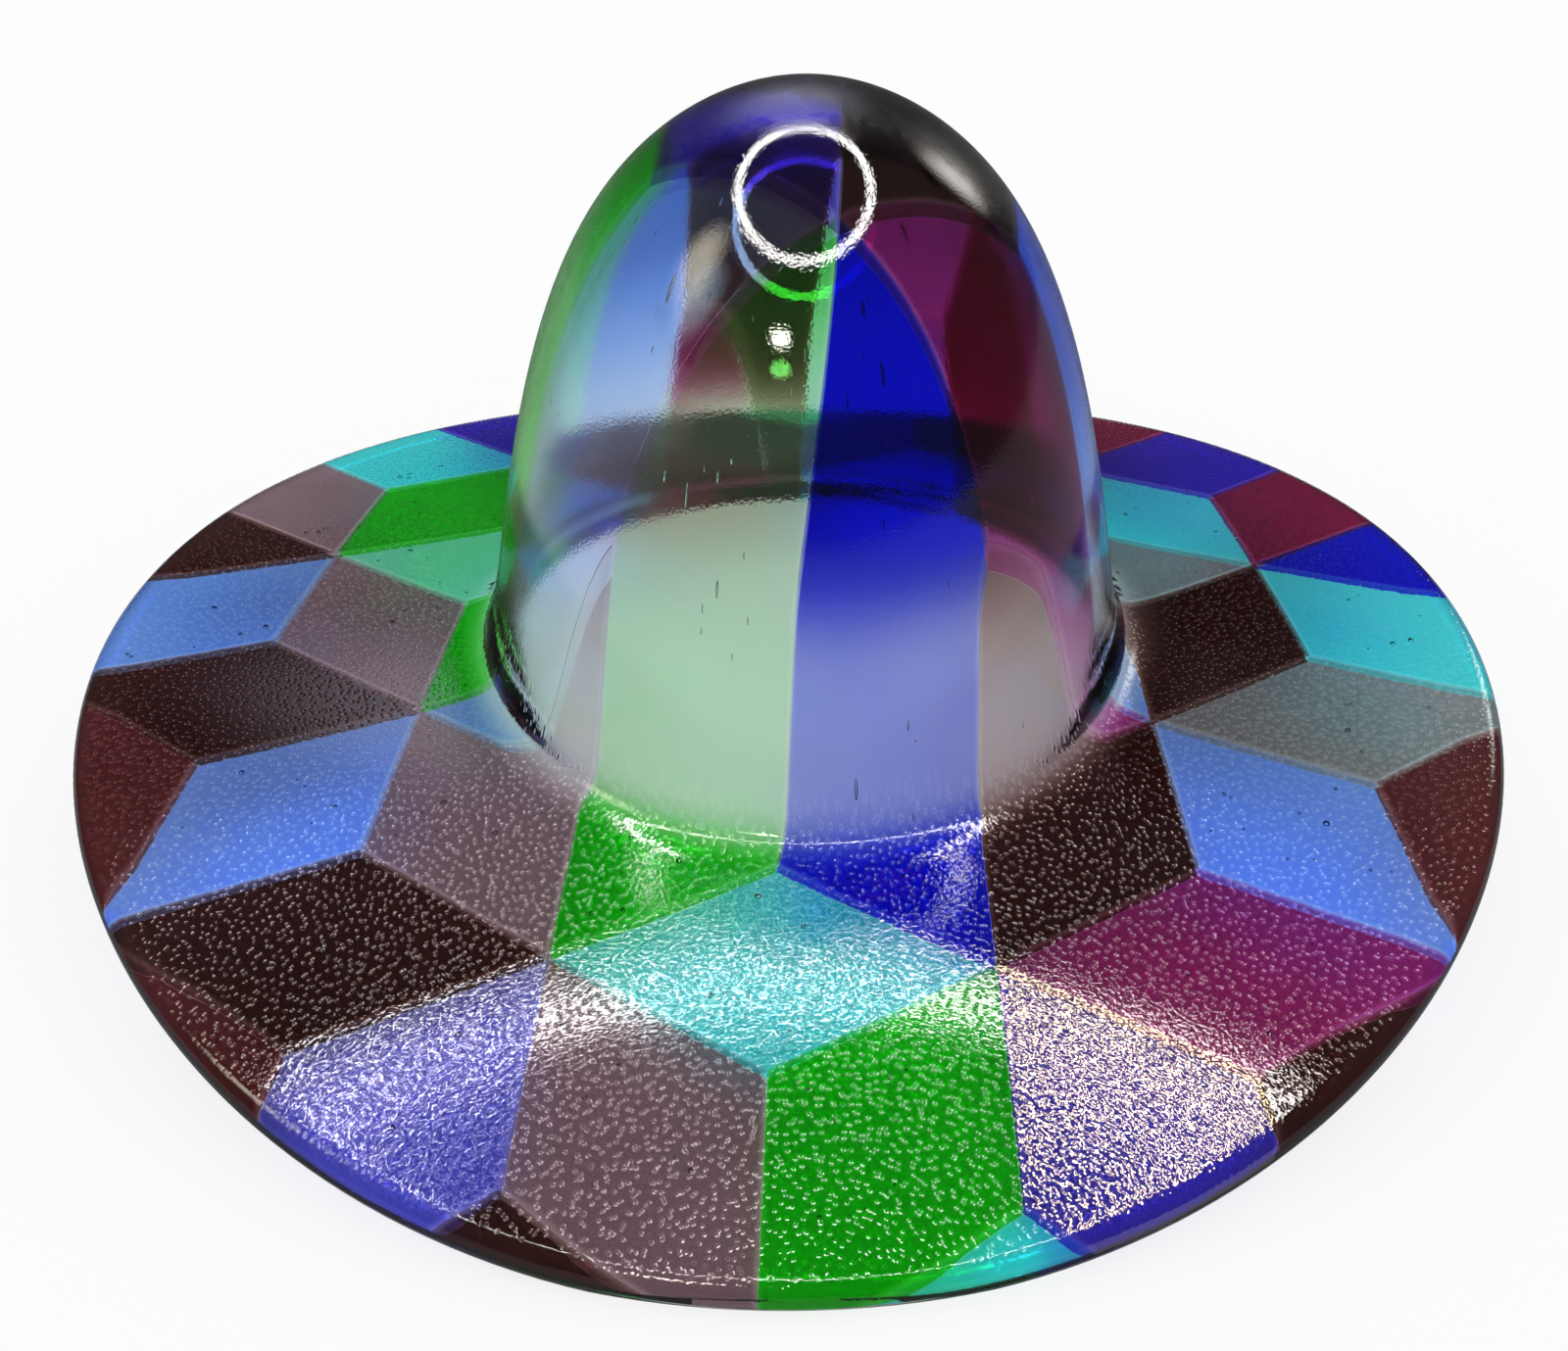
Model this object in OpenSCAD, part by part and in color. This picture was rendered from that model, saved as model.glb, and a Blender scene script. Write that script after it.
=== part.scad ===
// Hat of kiln-formed glass. A round blank of coloured rhombic tiles, laid as
// tumbling blocks on a clear sheet and fused, has sagged through a ring: the
// middle drew down into a deep bell and the outside stayed as a wavy brim.
// The hat stands on its brim, crown up. Front is -Y, the rest plane is Z = 0.

/* [Brim] */
// Outer diameter of the brim
brim_d = 304; // [280:1:330]
// Rise of the rim at the left and right, above the foot of the crown
side_lift = 8.2; // [4:0.2:12]
// Droop of the rim at the front and back, below the foot of the crown
end_drop = 13.4; // [9:0.2:18]
// Depth of the flats under the rim at the front and back, where the hat rests
rest_flat = 1; // [0.6:0.1:1.6]
// Width of the melted-round edge of the rim
edge_round = 1.6; // [0.8:0.1:2.2]

/* [Crown] */
// Height of the crown above its foot
crown_h = 122.7; // [105:0.1:140]
// Diameter of the crown's wall at its foot
crown_d = 140.6; // [128:0.2:152]
// Fullness of the crown's wall, larger for a squarer shoulder
crown_fullness = 5.8; // [4.8:0.1:6.8]
// Share of a plain dome in the crown's form, larger for a more pointed top
dome_share = 0.51; // [0.4:0.01:0.62]
// Height of the sweep from the wall's foot into the brim
foot_rise = 8.5; // [6:0.5:11]
// How far the crown's axis lies to the right of the brim's centre
crown_x = 3.8; // [0:0.1:6]
// How far the crown's axis lies behind the brim's centre
crown_y = 7.3; // [0:0.1:9]

/* [Glass] */
// Thickness of a coloured tile where the sheet lies flat
tile_t = 3.6; // [2.8:0.1:4.4]
// Thickness of the clear sheet under the tiles
base_t = 2.8; // [2:0.1:4]
// Share of both sheets' thickness that is left in the steep wall of the crown
wall_left = 0.4; // [0.3:0.05:0.6]
// Fuse line between the tiles and the clear sheet
fuse_gap = 0.3; // [0.2:0.05:0.5]
// Clear seam between neighbouring tiles
seam = 0.8; // [0.4:0.1:1.4]

/* [Pattern] */
// Turn of the tile pattern about the brim's centre, in degrees
pattern_turn = -2; // [-4:0.5:2]
// Shrink of the pattern's plan where the glass drew down into the crown
crown_draw = 0.144; // [0.1:0.002:0.17]
// Lean of the pattern to the right at the top of the crown
lean_right = 10; // [7:0.5:13]
// Lean of the pattern to the front at the top of the crown
lean_front = 1.1; // [0:0.1:4]

/* [Hidden] */
brim_r = brim_d / 2;
crown_r = crown_d / 2;
crown_axis = [crown_x, crown_y];
// The lowest glass is the droop of the rim, less the flats it rests on
foot_z = end_drop + tile_t + fuse_gap + base_t - rest_flat;
// Inner edge of the rest flats, where the droop meets the rest plane
flat_r = brim_r * sqrt(1 - rest_flat / end_drop);

// Layout of the blank in sides of a tile: its radius, the place of the junction that the
// crown's front tiles meet at, and the rows of the pattern that the edge cuts, front and back
rim_in_tiles = 3.378;
junction_across = -0.022;
junction_along = -0.636;
front_row = -2.822;
back_row = 4.446;
tile_side = brim_r / rim_in_tiles;
// The sag pulled the pattern in from front to back, more so towards the row behind the crown,
// between the junction and the row at the rim
plan_bow = 0.0271;
plan_depth = (plan_bow * front_row * front_row - rim_in_tiles - junction_along) / front_row;
plan_taper = 0.031;
bow_end = 2.5;
// Ring of glass at the crown's foot over which the plan shrinks
draw_margin = 6.7;
draw_band = 7.4;
draw_end = crown_r + draw_margin;
draw_start = draw_end - draw_band;

// Steps along a tile's side: on the crown, at its foot and on the brim
STEPS_CROWN = 10;
STEPS_FOOT = 8;
STEPS_TURN = 6;
STEPS_BRIM = 2;
STEPS_RIM = 2;
// Spokes of each layer of glass
SPOKES = 40;
// Rings of each layer, as shares of the crown's radius and of the brim
CROWN_RINGS = [0.18, 0.35, 0.5, 0.63, 0.74, 0.82, 0.885, 0.935, 0.975, 1.015, 1.055, 1.11];
BRIM_RINGS = [0.5, 1];

// Colours of the glass
COBALT = [0.10, 0.16, 0.78];
CORNFLOWER = [0.38, 0.52, 0.90];
SKY = [0.55, 0.72, 0.95];
INDIGO = [0.25, 0.20, 0.62];
CYAN = [0.25, 0.80, 0.82];
AQUA = [0.35, 0.78, 0.62];
GREEN = [0.15, 0.68, 0.20];
MAGENTA = [0.55, 0.10, 0.36];
CRIMSON = [0.52, 0.12, 0.24];
MAROON = [0.30, 0.14, 0.16];
MAUVE = [0.42, 0.32, 0.38];
SMOKE = [0.38, 0.34, 0.35];
UMBER = [0.18, 0.13, 0.11];
CLEAR = [0.88, 0.93, 0.92, 0.5];

// Tiles as [name, lattice point, direction of the long diagonal / 60, steps, colour].
// A lattice point is where six tiles meet, and the first is on the crown's front.
TILES = [
    ["crown_right", [0, 0], 0, STEPS_CROWN, MAGENTA],
    ["crown_back_right", [0, 0], 1, STEPS_CROWN, UMBER],
    ["crown_back_left", [0, 0], 2, STEPS_CROWN, INDIGO],
    ["crown_left", [0, 0], 3, STEPS_CROWN, SKY],
    ["crown_front_left", [0, 0], 4, STEPS_CROWN, GREEN],
    ["crown_front_right", [0, 0], 5, STEPS_CROWN, COBALT],
    ["crown_top_back", [-1, 1], 0, STEPS_CROWN, UMBER],
    ["wall_left", [-1, 0], 1, STEPS_CROWN, GREEN],
    ["wall_back_left", [-1, 1], 1, STEPS_CROWN, UMBER],
    ["wall_back", [0, 1], 2, STEPS_CROWN, SKY],
    ["wall_back_right", [0, 1], 1, STEPS_CROWN, CRIMSON],
    ["wall_right", [1, 0], 2, STEPS_CROWN, CORNFLOWER],
    ["foot_front", [0, -1], 0, STEPS_TURN, CYAN],
    ["foot_front_right", [1, -1], 1, STEPS_FOOT, UMBER],
    ["foot_right", [0, 1], 0, STEPS_FOOT, SMOKE],
    ["foot_back_right", [-1, 2], 0, STEPS_FOOT, CORNFLOWER],
    ["foot_back_left", [-2, 2], 0, STEPS_FOOT, CRIMSON],
    ["foot_left_rear", [-1, 1], 2, STEPS_FOOT, CORNFLOWER],
    ["foot_left", [-2, 1], 0, STEPS_FOOT, AQUA],
    ["foot_front_left", [0, -1], 2, STEPS_FOOT, MAUVE],
    ["brim_front_mauve", [1, -2], 2, STEPS_RIM, MAUVE],
    ["brim_front_green", [1, -2], 1, STEPS_RIM, GREEN],
    ["brim_front_cobalt", [2, -2], 2, STEPS_RIM, COBALT],
    ["brim_front_cornflower", [0, -2], 1, STEPS_RIM, CORNFLOWER],
    ["brim_front_left_umber", [-1, -1], 0, STEPS_BRIM, UMBER],
    ["brim_front_right_magenta", [1, -1], 0, STEPS_BRIM, MAGENTA],
    ["brim_left_cornflower", [-1, -1], 1, STEPS_BRIM, CORNFLOWER],
    ["brim_left_umber", [-2, 0], 0, STEPS_RIM, UMBER],
    ["brim_left_mauve", [-1, 0], 2, STEPS_BRIM, MAUVE],
    ["brim_left_sky", [-2, 0], 1, STEPS_RIM, SKY],
    ["brim_left_rear_umber", [-3, 1], 0, STEPS_RIM, UMBER],
    ["brim_left_rear_mauve", [-2, 1], 2, STEPS_RIM, MAUVE],
    ["brim_left_rear_green", [-2, 1], 1, STEPS_BRIM, GREEN],
    ["brim_left_rear_cyan", [-3, 2], 0, STEPS_RIM, CYAN],
    ["brim_right_cornflower", [2, -1], 2, STEPS_BRIM, CORNFLOWER],
    ["brim_right_smoke", [1, 0], 0, STEPS_RIM, SMOKE],
    ["brim_right_umber", [1, 0], 1, STEPS_FOOT, UMBER],
    ["brim_right_cyan", [2, 0], 2, STEPS_RIM, CYAN],
    ["brim_right_rear_cobalt", [1, 1], 0, STEPS_RIM, COBALT],
    ["brim_right_rear_crimson", [1, 1], 1, STEPS_RIM, CRIMSON],
    ["brim_right_rear_cyan", [1, 1], 2, STEPS_BRIM, CYAN],
    ["brim_right_rear_indigo", [0, 2], 0, STEPS_RIM, INDIGO],
    ["brim_back_crimson", [0, 2], 1, STEPS_RIM, CRIMSON],
    ["brim_back_green", [0, 2], 2, STEPS_RIM, GREEN],
    ["brim_back_cornflower", [-1, 2], 1, STEPS_RIM, CORNFLOWER],
    ["brim_back_magenta", [-1, 2], 2, STEPS_RIM, MAGENTA],
    ["brim_back_mauve", [-2, 2], 1, STEPS_RIM, MAUVE],
    ["brim_back_indigo", [-2, 2], 2, STEPS_RIM, INDIGO],
    ["rim_front_umber", [0, -2], 0, STEPS_RIM, UMBER],
    ["rim_front_cyan", [1, -2], 0, STEPS_RIM, CYAN],
    ["rim_front_right_umber", [2, -2], 1, STEPS_RIM, UMBER],
    ["rim_right_maroon", [2, -1], 1, STEPS_RIM, MAROON],
    ["rim_back_aqua", [-2, 3], 0, STEPS_RIM, AQUA],
    ["rim_left_maroon", [-1, -1], 2, STEPS_RIM, MAROON],
    ["rim_front_left_maroon", [0, -2], 2, STEPS_RIM, MAROON],
];

// The form of the hat over its plan

// Share of the crown's radius at a plan point
function reach(p) = norm(p - crown_axis) / crown_r;
// A full-shouldered dome: its height over the wall's foot, which goes on down below it
crown_rise = crown_h - foot_rise * foot_rise / crown_h;
function dome(u) =
    crown_rise * (1 - (1 - dome_share) * pow(u, crown_fullness) - dome_share * u * u);
function dome_fall(u) =
    crown_rise / crown_r * ((1 - dome_share) * crown_fullness * pow(u, crown_fullness - 1) + 2 * dome_share * u);
// The dome swept out into the level of the brim: its height above its foot, and its slope
function swept(h) = sqrt(h * h + 4 * foot_rise * foot_rise);
function bell(u) = (dome(u) + swept(dome(u))) / 2;
function bell_slope(u) = dome_fall(u) * (1 + dome(u) / swept(dome(u))) / 2;
// The brim is a saddle: up at the sides, down at the front and back
function brim_wave(p) = (side_lift * p.x * p.x - end_drop * p.y * p.y) / (brim_r * brim_r);
// The sheets sagged down, so their walls thin with the slope. These are the depths straight
// down through a sheet and through a gap that keeps its width, as shares of their thickness.
function sagged(p) = sqrt(1 + pow(wall_left * bell_slope(reach(p)), 2));
function kept(p) = sqrt(1 + pow(bell_slope(reach(p)), 2));
function top_z(p) = foot_z + bell(reach(p)) + brim_wave(p);
function tile_under_z(p) = top_z(p) - tile_t * sagged(p);
function sheet_top_z(p) = tile_under_z(p) - fuse_gap * kept(p);
function sheet_under_z(p) = max(0, sheet_top_z(p) - base_t * sagged(p));

// The tumbling-block pattern

function unit(a) = [cos(a), sin(a)];
function lattice(n) = [sqrt(3) * (n.x + n.y / 2), 1.5 * n.y];
// Corners of a rhombus in tile sides, drawn in by half a seam
function rhombus(n, turn) =
    let (
        o = lattice(n),
        far = o + sqrt(3) * unit(60 * turn),
        middle = (o + far) / 2,
        inset = 1 - seam / (tile_side * sin(60)),
        corners = [o, o + unit(60 * turn - 30), far, o + unit(60 * turn + 30)]
    )
    [for (c = corners) middle + inset * (c - middle)];
// Flat pattern to plan on the brim, held at the rows that the rim cuts
function bowed(row) = plan_depth * row - plan_bow * row * row;
rear_pitch = (rim_in_tiles - junction_along - bowed(bow_end)) / (back_row - bow_end);
function laid(q) =
    let (
        near = min(q.y, bow_end),
        across = q.x * (1 - plan_taper * near),
        along = bowed(near) + rear_pitch * max(q.y - bow_end, 0),
        s = sin(pattern_turn),
        c = cos(pattern_turn)
    )
    tile_side * ([junction_across, junction_along] + [c * across - s * along, s * across + c * along]);
// The crown drew its glass inwards and let the pattern lean
function smooth(k) = k * k * (3 - 2 * k);
function drawn(p) =
    let (
        v = p - crown_axis,
        d = norm(v),
        k = smooth(max(0, min(1, (d - draw_start) / (draw_end - draw_start)))),
        lean = max(0, 1 - pow(d / draw_end, 4))
    )
    crown_axis + v * (1 - crown_draw * (1 - k)) + lean * [lean_right, -lean_front];
function plan(q) = drawn(laid(q));

// Layers of glass

// Plan points of a layer, in rings about the crown's axis and out to the rim, with the axis last
function layer_plan(rim) = concat(
    [for (u = CROWN_RINGS, k = [0 : SPOKES - 1])
        crown_axis + crown_r * u * unit(360 * k / SPOKES)],
    [for (f = BRIM_RINGS, k = [0 : SPOKES - 1])
        let (a = unit(360 * k / SPOKES))
        (crown_axis + crown_r * CROWN_RINGS[len(CROWN_RINGS) - 1] * a) * (1 - f) + flat_r * a * f],
    [for (r = [(flat_r + brim_r - edge_round) / 2, rim], k = [0 : SPOKES - 1])
        r * unit(360 * k / SPOKES)],
    [crown_axis]
);
// A closed layer between two such sets of points
module layer(upper, under) {
    n = SPOKES;
    size = len(upper);
    rings = (size - 1) / n;
    function at(r, k) = r * n + k % n;
    function quad(a, b, c, d) = [[a, b, c], [a, c, d]];
    faces = concat(
        [for (k = [0 : n - 1]) [
            [size - 1, at(0, k + 1), at(0, k)],
            [2 * size - 1, size + at(0, k), size + at(0, k + 1)]
        ]],
        [for (r = [0 : rings - 2], k = [0 : n - 1]) concat(
            quad(at(r, k), at(r, k + 1), at(r + 1, k + 1), at(r + 1, k)),
            quad(size + at(r, k), size + at(r + 1, k), size + at(r + 1, k + 1), size + at(r, k + 1))
        )],
        [for (k = [0 : n - 1])
            quad(at(rings - 1, k), at(rings - 1, k + 1),
                size + at(rings - 1, k + 1), size + at(rings - 1, k))]
    );
    polyhedron(concat(upper, under), [for (f = faces) for (t = f) t]);
}

// The clear sheet under the tiles: lines the crown and makes the brim's underside
module clear_sheet() {
    color(CLEAR)
        layer(
            [for (p = layer_plan(brim_r)) [p.x, p.y, sheet_top_z(p)]],
            [for (p = layer_plan(brim_r - edge_round)) [p.x, p.y, sheet_under_z(p)]]
        );
}

// The layer of tiles as one, its upper edge melted round
module tile_layer() {
    layer(
        [for (p = layer_plan(brim_r - edge_round)) [p.x, p.y, top_z(p)]],
        [for (p = layer_plan(brim_r)) [p.x, p.y, tile_under_z(p)]]
    );
}

// One coloured tile: its piece of the layer, cut out straight down along the seams
module tile(t) {
    corners = rhombus(t[1], t[2]);
    outline = [for (k = [0 : 3], i = [0 : t[3] - 1])
        plan(corners[k] + (corners[(k + 1) % 4] - corners[k]) * i / t[3])];
    color(t[4])
        intersection() {
            tile_layer();
            linear_extrude(foot_z + crown_h + side_lift)
                polygon(outline);
        }
}

clear_sheet();
for (t = TILES) tile(t);
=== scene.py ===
import math
import random

import bmesh
import bpy
from mathutils import Euler, Matrix, Vector


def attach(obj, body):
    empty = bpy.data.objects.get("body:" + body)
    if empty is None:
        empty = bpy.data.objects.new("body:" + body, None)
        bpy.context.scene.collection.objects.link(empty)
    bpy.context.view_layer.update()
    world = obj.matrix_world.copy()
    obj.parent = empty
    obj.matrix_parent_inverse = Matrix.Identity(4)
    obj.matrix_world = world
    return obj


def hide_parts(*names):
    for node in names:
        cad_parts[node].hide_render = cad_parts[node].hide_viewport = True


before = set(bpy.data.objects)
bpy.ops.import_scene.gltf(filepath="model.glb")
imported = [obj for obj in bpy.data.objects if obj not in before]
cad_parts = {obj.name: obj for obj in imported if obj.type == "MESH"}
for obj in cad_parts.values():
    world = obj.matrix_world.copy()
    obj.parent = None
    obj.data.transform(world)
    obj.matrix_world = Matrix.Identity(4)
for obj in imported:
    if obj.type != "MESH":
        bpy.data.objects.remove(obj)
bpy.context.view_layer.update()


# Clear sheet: the round blank of clear glass that every tile lies on. It sagged with them
# through a ring in the kiln, so it lines the crown and makes the underside of the brim.
# Its edge melted round, and two small flats under the rim are where the hat stands.
brim_radius = 0.152
side_lift = 0.0082
end_drop = 0.0134
rest_flat = 0.001
crown_radius = 0.0703
crown_axis = Vector((0.0038, 0.0073))
crown_height = 0.1227
crown_fullness = 5.8
dome_share = 0.51
foot_rise = 0.0085
crown_rise = crown_height - foot_rise ** 2 / crown_height
tile_depth = 0.0036
sheet_depth = 0.0028
fuse_line = 0.0003
wall_share = 0.4
foot_height = end_drop + tile_depth + fuse_line + sheet_depth - rest_flat


def crown_reach(p):
    # Distance from the crown's axis, in crown radii
    return math.hypot(p.x - crown_axis.x, p.y - crown_axis.y) / crown_radius


def crown_dome(reach):
    # A full-shouldered dome that goes on down below the foot of the wall
    return crown_rise * (1 - (1 - dome_share) * reach ** crown_fullness - dome_share * reach ** 2)


def hat_height(p):
    # The dome runs out into the brim in one sweep, and the brim is a saddle
    dome = crown_dome(crown_reach(p))
    bell = (dome + math.hypot(dome, 2 * foot_rise)) / 2
    return foot_height + bell + (side_lift * p.x ** 2 - end_drop * p.y ** 2) / brim_radius ** 2


def wall_slope(p):
    reach = crown_reach(p)
    dome = crown_dome(reach)
    shoulder = (1 - dome_share) * crown_fullness * reach ** (crown_fullness - 1)
    fall = crown_rise / crown_radius * (shoulder + 2 * dome_share * reach)
    return fall * (1 + dome / math.hypot(dome, 2 * foot_rise)) / 2


def tile_under(p):
    # The wall thins with its slope, to two fifths where it is steep
    return hat_height(p) - tile_depth * math.hypot(1, wall_share * wall_slope(p))


def sheet_top(p):
    return tile_under(p) - fuse_line * math.hypot(1, wall_slope(p))


def sheet_under(p):
    return max(0.0, sheet_top(p) - sheet_depth * math.hypot(1, wall_share * wall_slope(p)))


def melted_edge(p, radius):
    # Drop of a melted-round edge of this radius at a plan point near the rim
    inward = max(0.0, brim_radius - math.hypot(p.x, p.y))
    if inward >= radius:
        return 0.0
    return radius - math.sqrt(radius ** 2 - (radius - inward) ** 2)


def face_outwards(bm):
    bmesh.ops.recalc_face_normals(bm, faces=bm.faces[:])
    if bm.calc_volume(signed=True) < 0:
        bmesh.ops.reverse_faces(bm, faces=bm.faces[:])


def crease_edges(bm, degrees=50):
    for edge in bm.edges:
        if len(edge.link_faces) == 2:
            edge.smooth = edge.calc_face_angle(0) < math.radians(degrees)
    for face in bm.faces:
        face.smooth = True


def finish_piece(bm, name, node, materials):
    mesh = bpy.data.meshes.new(name)
    bm.to_mesh(mesh)
    bm.free()
    for material in materials:
        mesh.materials.append(material)
    piece = bpy.data.objects.new(name, mesh)
    bpy.context.scene.collection.objects.link(piece)
    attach(piece, "root")
    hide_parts(node)
    return piece


def plain_glass(name, colour, ior, roughness):
    material = bpy.data.materials.new(name)
    material.use_nodes = True
    glass = material.node_tree.nodes["Principled BSDF"]
    glass.inputs["Base Color"].default_value = (*colour, 1)
    glass.inputs["Transmission Weight"].default_value = 1
    glass.inputs["IOR"].default_value = ior
    glass.inputs["Roughness"].default_value = roughness
    return material


# Where two layers are fused there is no surface left, so light goes straight through
glass_ior = 1.5
fused_ior = 1.0
clear_glass = plain_glass("clear_glass", (0.93, 0.97, 0.95), glass_ior, 0.02)
clear_fuse = plain_glass("clear_fuse", (1, 1, 1), fused_ior, 0.0)

# Rings of the sheet: close in the crown's wall, and closer again towards the rim
top_radius = 0.058
foot_radius = 0.082
top_rings = 20
wall_rings = 60
brim_rings = 24
around = 240
weld = 0.00001
sheet_melt = 0.0024
stations = [0.0]
for step in range(1, top_rings + 1):
    stations.append(top_radius * math.sin(math.radians(90 * step / top_rings)) ** 0.9)
for step in range(1, wall_rings + 1):
    stations.append(top_radius + (foot_radius - top_radius) * step / wall_rings)
for step in range(1, brim_rings + 1):
    share = 1 - (1 - step / brim_rings) ** 1.9
    stations.append(foot_radius + (brim_radius - foot_radius) * share)

bm = bmesh.new()
spoke = [bm.verts.new((station, 0, 0)) for station in stations]
for inner, outer in zip(spoke, spoke[1:]):
    bm.edges.new((inner, outer))
bmesh.ops.spin(
    bm, geom=bm.verts[:] + bm.edges[:], cent=(0, 0, 0), axis=(0, 0, 1),
    angle=2 * math.pi, steps=around, use_merge=True,
)
bmesh.ops.remove_doubles(bm, verts=bm.verts[:], dist=weld)
bmesh.ops.recalc_face_normals(bm, faces=bm.faces[:])
for vert in bm.verts:
    reach = vert.co.xy.length
    centred = min(1.0, max(0.0, (brim_radius - reach) / (brim_radius - foot_radius)))
    vert.co.xy = vert.co.xy + crown_axis * centred
lower = bmesh.ops.extrude_face_region(bm, geom=bm.faces[:])["geom"]
lower_verts = {item for item in lower if isinstance(item, bmesh.types.BMVert)}
for vert in bm.verts:
    if vert in lower_verts:
        vert.co.z = sheet_under(vert.co) + melted_edge(vert.co, sheet_melt)
    else:
        vert.co.z = sheet_top(vert.co)
face_outwards(bm)
for face in bm.faces:
    if not any(vert in lower_verts for vert in face.verts):
        face.material_index = 1
crease_edges(bm)
finish_piece(bm, "clear_sheet_glass", "clear_sheet", [clear_glass, clear_fuse])


# Tile glass: sheets of transparent coloured glass, cut into rhombs and fused edge to edge.
# The crown's wall was drawn thin, so its colours turn pale there, and they deepen on the
# brim. Each seam is a fine clearer line where two tiles ran together. On the brim the colour
# also holds painted highlights on the rims of the pits and on the ridges of the peel.
def socket(group, way, name, kind, value=None):
    made = group.interface.new_socket(name=name, in_out=way, socket_type=kind)
    if value is not None:
        made.default_value = value
    return made


def maths(tree, operation, *values):
    node = tree.nodes.new("ShaderNodeMath")
    node.operation = operation
    for place, value in zip(node.inputs, values):
        if isinstance(value, (int, float)):
            place.default_value = value
        else:
            tree.links.new(value, place)
    return node.outputs[0]


def ramp_between(tree, value, low, high, start, end):
    node = tree.nodes.new("ShaderNodeMapRange")
    node.interpolation_type = "SMOOTHSTEP"
    tree.links.new(value, node.inputs["Value"])
    for name, number in (("From Min", low), ("From Max", high), ("To Min", start), ("To Max", end)):
        node.inputs[name].default_value = number
    return node.outputs["Result"]


def object_noise(tree, scale, detail):
    place = tree.nodes.new("ShaderNodeTexCoord")
    noise = tree.nodes.new("ShaderNodeTexNoise")
    noise.inputs["Scale"].default_value = scale
    noise.inputs["Detail"].default_value = detail
    tree.links.new(place.outputs["Object"], noise.inputs["Vector"])
    return noise.outputs["Fac"]


def attribute(tree, name, output):
    node = tree.nodes.new("ShaderNodeAttribute")
    node.attribute_name = name
    return node.outputs[output]


def shelf_pits(tree):
    # How far a point lies from the nearest of the pits that the kiln's shelf left
    place = tree.nodes.new("ShaderNodeTexCoord")
    pits = tree.nodes.new("ShaderNodeTexVoronoi")
    pits.voronoi_dimensions = "2D"
    pits.inputs["Scale"].default_value = 640
    tree.links.new(place.outputs["Object"], pits.inputs["Vector"])
    return pits.outputs["Distance"]


tile_width_mm = 39.0
seam_width_mm = 1.2
edge_width_mm = 0.6
waver_mm = 0.6
peel_scale = 1050
pit_rim = 0.2
pit_edge = 0.34
clear_and_glint_names = ("Edge Amount", "Seam Clear", "Pit Glint", "Ridge Glint")

drawn_tint = bpy.data.node_groups.new("drawn_tint", "ShaderNodeTree")
socket(drawn_tint, "INPUT", "Glass", "NodeSocketColor", (0.5, 0.5, 0.5, 1))
socket(drawn_tint, "INPUT", "Edge", "NodeSocketColor", (0.8, 0.8, 0.8, 1))
for name in clear_and_glint_names:
    socket(drawn_tint, "INPUT", name, "NodeSocketFloat", 0.5)
socket(drawn_tint, "OUTPUT", "Colour", "NodeSocketColor")
group_in = drawn_tint.nodes.new("NodeGroupInput")
group_out = drawn_tint.nodes.new("NodeGroupOutput")

# How far a point lies from the nearest seam, which wavers as the glass ran
split = drawn_tint.nodes.new("ShaderNodeSeparateXYZ")
drawn_tint.links.new(attribute(drawn_tint, "flat", "Vector"), split.inputs[0])
seam_share = []
for share in (split.outputs[0], split.outputs[1]):
    seam_share.append(maths(drawn_tint, "MINIMUM", share, maths(drawn_tint, "SUBTRACT", 1.0, share)))
seam_mm = maths(drawn_tint, "MINIMUM", *seam_share)
seam_mm = maths(drawn_tint, "MULTIPLY", seam_mm, tile_width_mm)
waver = maths(drawn_tint, "MULTIPLY_ADD", object_noise(drawn_tint, 260, 2), waver_mm, -waver_mm / 2)
seam_mm = maths(drawn_tint, "ADD", seam_mm, waver)

# Depth of the colour: drawn thin, faintly streaked, and clearer along the seams
seam_clear = ramp_between(drawn_tint, seam_mm, 0.0, seam_width_mm, 1.0, 0.0)
seam_clear = maths(drawn_tint, "MULTIPLY", seam_clear, group_in.outputs["Seam Clear"])
streaks = maths(drawn_tint, "MULTIPLY_ADD", object_noise(drawn_tint, 28, 3), 0.3, 0.85)
depth = maths(drawn_tint, "MULTIPLY", attribute(drawn_tint, "thin", "Fac"), streaks)
depth = maths(drawn_tint, "MULTIPLY", depth, maths(drawn_tint, "SUBTRACT", 1.0, seam_clear))

# Painted highlights: the rims of the pits and the ridges of the orange peel are made pale in
# the colour, standing in for glints of the lamps, most of all at the front of the brim
pits = shelf_pits(drawn_tint)
pit_glints = maths(
    drawn_tint, "MULTIPLY",
    ramp_between(drawn_tint, pits, 0.08, pit_rim, 0.0, 1.0),
    ramp_between(drawn_tint, pits, pit_rim, pit_edge, 1.0, 0.0),
)
pit_glints = maths(drawn_tint, "MULTIPLY", pit_glints, group_in.outputs["Pit Glint"])
swell = maths(drawn_tint, "SUBTRACT", object_noise(drawn_tint, peel_scale, 1), 0.5)
ridge_glints = ramp_between(drawn_tint, maths(drawn_tint, "ABSOLUTE", swell), 0.015, 0.06, 1.0, 0.0)
ridge_glints = maths(drawn_tint, "MULTIPLY", ridge_glints, group_in.outputs["Ridge Glint"])
painted_glints = maths(drawn_tint, "MAXIMUM", pit_glints, ridge_glints)
painted_glints = maths(drawn_tint, "MULTIPLY", painted_glints, attribute(drawn_tint, "painted_glint_mask", "Fac"))
depth = maths(drawn_tint, "MULTIPLY", depth, maths(drawn_tint, "SUBTRACT", 1.0, painted_glints))

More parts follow.
